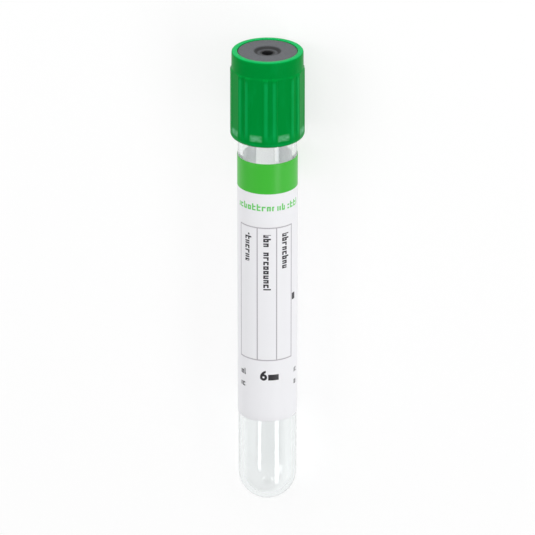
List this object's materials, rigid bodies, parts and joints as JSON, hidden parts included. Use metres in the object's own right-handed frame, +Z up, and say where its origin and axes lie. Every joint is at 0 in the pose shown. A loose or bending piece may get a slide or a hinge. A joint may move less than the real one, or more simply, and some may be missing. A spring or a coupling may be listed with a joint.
{
  "type": "blood collection tube",
  "caption": "Clear round-bottomed tube with a wrapped label, closed by a grey rubber stopper in a fluted green safety cap that pulls off.",
  "frame": {"origin": "on the surface that the tube lies on, under the middle of its length", "axes": "+Z up, +Y towards the cap end, +X to the right seen from above with the cap away from the viewer"},
  "size_m": [0.016, 0.108, 0.0163],
  "materials": {
    "clear_plastic": "clear, polished",
    "grey_rubber": "matt",
    "green_plastic": "satin moulded",
    "label_film": "smooth, semi-gloss"
  },
  "bodies": {
    "tube_body": {"tube": "clear_plastic", "label": "label_film"},
    "stopper_body": {"stopper": "grey_rubber"},
    "cap_body": {"cap": "green_plastic"}
  },
  "joints": [
    {"name": "closure_pull", "type": "slide", "parent": "tube_body", "child": "stopper_body", "axis": [0, 0.9998, 0.0183], "range_m": [0, 0.03]},
    {"name": "cap_twist", "type": "hinge", "parent": "stopper_body", "child": "cap_body", "pos_m": [0, 0.04597, 0.00821], "axis": [0, 0.9998, 0.0183], "continuous": true}
  ]
}
